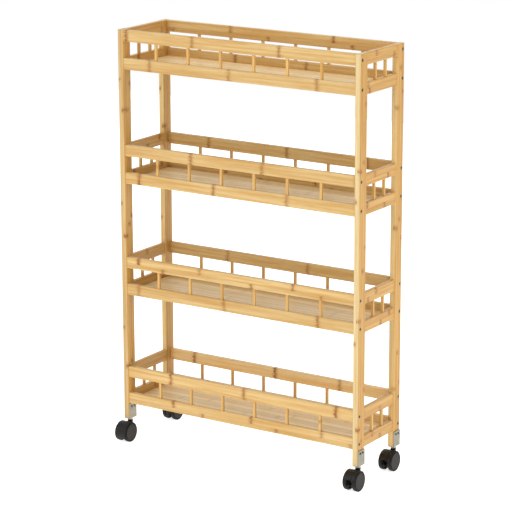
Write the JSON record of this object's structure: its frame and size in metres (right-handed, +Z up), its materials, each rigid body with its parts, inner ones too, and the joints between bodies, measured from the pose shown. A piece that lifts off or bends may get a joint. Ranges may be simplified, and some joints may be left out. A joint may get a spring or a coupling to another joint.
{
  "type": "rolling utility cart",
  "caption": "Slim bamboo rolling cart: slatted open trays with shelf boards between upright posts, on swivelling twin-wheel casters, some with brakes.",
  "frame": {"origin": "on the floor under the middle of the cart", "axes": "+X along the trays towards the braked end, +Y to the back through the narrow depth, +Z up"},
  "size_m": [0.643, 0.2365, 0.954],
  "materials": {
    "bamboo_post": "satin lacquered bamboo",
    "bamboo_rail": "satin lacquered bamboo",
    "bamboo_spindle": "satin lacquered bamboo",
    "bamboo_board": "satin lacquered bamboo strips",
    "beech_dowel": "plain fluted beech",
    "zinc_steel": "zinc plated",
    "galvanised_steel": "matt galvanised sheet",
    "nylon_washer": "natural nylon",
    "caster_plastic": "moulded black nylon, satin",
    "wheel_tread": "moulded black polyurethane"
  },
  "bodies": {
    "frame": {"post_front_left": "bamboo_post", "post_front_right": "bamboo_post", "post_back_left": "bamboo_post", "post_back_right": "bamboo_post", "tier1_front_lower_rail": "bamboo_rail", "tier1_front_upper_rail": "bamboo_rail", "tier1_back_lower_rail": "bamboo_rail", "tier1_back_upper_rail": "bamboo_rail", "tier1_side_rails": "bamboo_rail", "tier1_spindles": "bamboo_spindle", "tier1_shelf_board": "bamboo_board", "tier2_front_lower_rail": "bamboo_rail", "tier2_front_upper_rail": "bamboo_rail", "tier2_back_lower_rail": "bamboo_rail", "tier2_back_upper_rail": "bamboo_rail", "tier2_side_rails": "bamboo_rail", "tier2_spindles": "bamboo_spindle", "tier2_shelf_board": "bamboo_board", "tier3_front_lower_rail": "bamboo_rail", "tier3_front_upper_rail": "bamboo_rail", "tier3_back_lower_rail": "bamboo_rail", "tier3_back_upper_rail": "bamboo_rail", "tier3_side_rails": "bamboo_rail", "tier3_spindles": "bamboo_spindle", "tier3_shelf_board": "bamboo_board", "tier4_front_lower_rail": "bamboo_rail", "tier4_front_upper_rail": "bamboo_rail", "tier4_back_lower_rail": "bamboo_rail", "tier4_back_upper_rail": "bamboo_rail", "tier4_side_rails": "bamboo_rail", "tier4_spindles": "bamboo_spindle", "tier4_shelf_board": "bamboo_board", "frame_screws": "zinc_steel", "frame_dowels": "beech_dowel", "bracket_front_left": "galvanised_steel", "bracket_front_right": "galvanised_steel", "bracket_back_left": "galvanised_steel", "bracket_back_right": "galvanised_steel", "bracket_screws": "zinc_steel", "caster_stems": "zinc_steel", "swivel_washers": "nylon_washer"},
    "swivel_front_left": {"hood_front_left": "caster_plastic", "axle_front_left": "zinc_steel"},
    "wheel_front_left_left": {"wheel_front_left_left": "wheel_tread"},
    "wheel_front_left_right": {"wheel_front_left_right": "wheel_tread"},
    "swivel_front_right": {"hood_front_right": "caster_plastic", "axle_front_right": "zinc_steel"},
    "wheel_front_right_left": {"wheel_front_right_left": "wheel_tread"},
    "wheel_front_right_right": {"wheel_front_right_right": "wheel_tread"},
    "brake_lever_front_right": {"brake_lever_front_right": "caster_plastic"},
    "swivel_back_left": {"hood_back_left": "caster_plastic", "axle_back_left": "zinc_steel"},
    "wheel_back_left_left": {"wheel_back_left_left": "wheel_tread"},
    "wheel_back_left_right": {"wheel_back_left_right": "wheel_tread"},
    "swivel_back_right": {"hood_back_right": "caster_plastic", "axle_back_right": "zinc_steel"},
    "wheel_back_right_left": {"wheel_back_right_left": "wheel_tread"},
    "wheel_back_right_right": {"wheel_back_right_right": "wheel_tread"},
    "brake_lever_back_right": {"brake_lever_back_right": "caster_plastic"}
  },
  "joints": [
    {"name": "swivel_front_left", "type": "hinge", "parent": "frame", "child": "swivel_front_left", "pos_m": [-0.305, -0.077, 0.05], "axis": [0, 0, 1], "continuous": true},
    {"name": "spin_front_left_left", "type": "hinge", "parent": "swivel_front_left", "child": "wheel_front_left_left", "pos_m": [-0.305, -0.0945, 0.02225], "axis": [1, 0, 0], "continuous": true},
    {"name": "spin_front_left_right", "type": "hinge", "parent": "swivel_front_left", "child": "wheel_front_left_right", "pos_m": [-0.305, -0.0945, 0.02225], "axis": [1, 0, 0], "continuous": true},
    {"name": "swivel_front_right", "type": "hinge", "parent": "frame", "child": "swivel_front_right", "pos_m": [0.305, -0.077, 0.05], "axis": [0, 0, 1], "continuous": true},
    {"name": "spin_front_right_left", "type": "hinge", "parent": "swivel_front_right", "child": "wheel_front_right_left", "pos_m": [0.305, -0.0945, 0.02225], "axis": [1, 0, 0], "continuous": true},
    {"name": "spin_front_right_right", "type": "hinge", "parent": "swivel_front_right", "child": "wheel_front_right_right", "pos_m": [0.305, -0.0945, 0.02225], "axis": [1, 0, 0], "continuous": true},
    {"name": "brake_front_right", "type": "hinge", "parent": "swivel_front_right", "child": "brake_lever_front_right", "pos_m": [0.305, -0.1011, 0.03465], "axis": [1, 0, 0], "range_deg": [0, 12]},
    {"name": "swivel_back_left", "type": "hinge", "parent": "frame", "child": "swivel_back_left", "pos_m": [-0.305, 0.077, 0.05], "axis": [0, 0, 1], "continuous": true},
    {"name": "spin_back_left_left", "type": "hinge", "parent": "swivel_back_left", "child": "wheel_back_left_left", "pos_m": [-0.305, 0.0945, 0.02225], "axis": [1, 0, 0], "continuous": true},
    {"name": "spin_back_left_right", "type": "hinge", "parent": "swivel_back_left", "child": "wheel_back_left_right", "pos_m": [-0.305, 0.0945, 0.02225], "axis": [1, 0, 0], "continuous": true},
    {"name": "swivel_back_right", "type": "hinge", "parent": "frame", "child": "swivel_back_right", "pos_m": [0.305, 0.077, 0.05], "axis": [0, 0, 1], "continuous": true},
    {"name": "spin_back_right_left", "type": "hinge", "parent": "swivel_back_right", "child": "wheel_back_right_left", "pos_m": [0.305, 0.0595, 0.02225], "axis": [1, 0, 0], "continuous": true},
    {"name": "spin_back_right_right", "type": "hinge", "parent": "swivel_back_right", "child": "wheel_back_right_right", "pos_m": [0.305, 0.0595, 0.02225], "axis": [1, 0, 0], "continuous": true},
    {"name": "brake_back_right", "type": "hinge", "parent": "swivel_back_right", "child": "brake_lever_back_right", "pos_m": [0.305, 0.0529, 0.03465], "axis": [1, 0, 0], "range_deg": [0, 12]}
  ]
}
